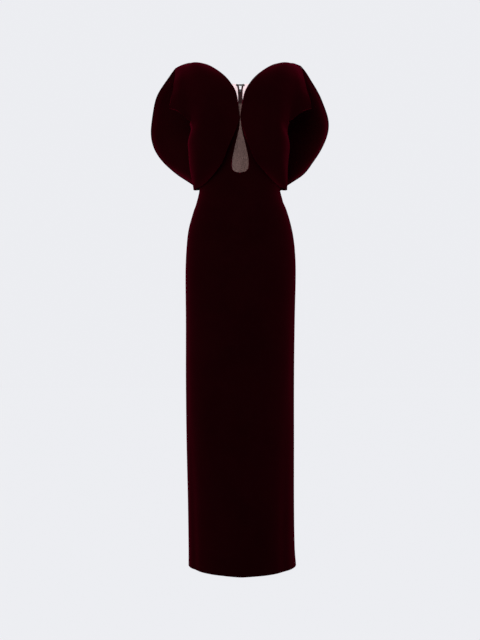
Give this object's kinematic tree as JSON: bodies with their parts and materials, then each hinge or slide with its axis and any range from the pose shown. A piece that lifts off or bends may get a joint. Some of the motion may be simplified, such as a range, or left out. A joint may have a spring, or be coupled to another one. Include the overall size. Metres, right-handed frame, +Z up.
{
  "type": "velvet gown",
  "caption": "Strapless floor-length velvet column gown, hollow as worn, with curved petals round the arms, a net keyhole, a sheer net back and a back zip.",
  "frame": {"origin": "middle of the waist, inside the gown, where the wearer holds it up", "axes": "+Z up, -Y the front, +X the wearer's left"},
  "size_m": [0.5397, 0.2949, 1.5035],
  "materials": {
    "velvet": "dark wine velvet with a red sheen at its edges",
    "net": "fine sheer taupe net",
    "zip_tape": "woven tape and coil, dull",
    "enamel": "black enamel, semi-gloss"
  },
  "bodies": {
    "gown": {"front_panel": "velvet", "back_panel_right": "velvet", "back_panel_left": "velvet", "front_petal_right": "velvet", "front_petal_left": "velvet", "back_petal_right": "velvet", "back_petal_left": "velvet", "keyhole_net": "net", "yoke_right": "net", "yoke_left": "net", "zip_tape_right": "zip_tape", "zip_tape_left": "zip_tape", "zip_chain": "zip_tape", "zip_slider": "enamel", "hook": "enamel", "eye": "enamel"},
    "zip_pull": {"zip_pull": "enamel"}
  },
  "joints": [
    {"name": "pull_swing", "type": "hinge", "parent": "gown", "child": "zip_pull", "pos_m": [0, 0.10692, 0.31642], "axis": [1, 0, 0], "range_deg": [0, 165]}
  ]
}
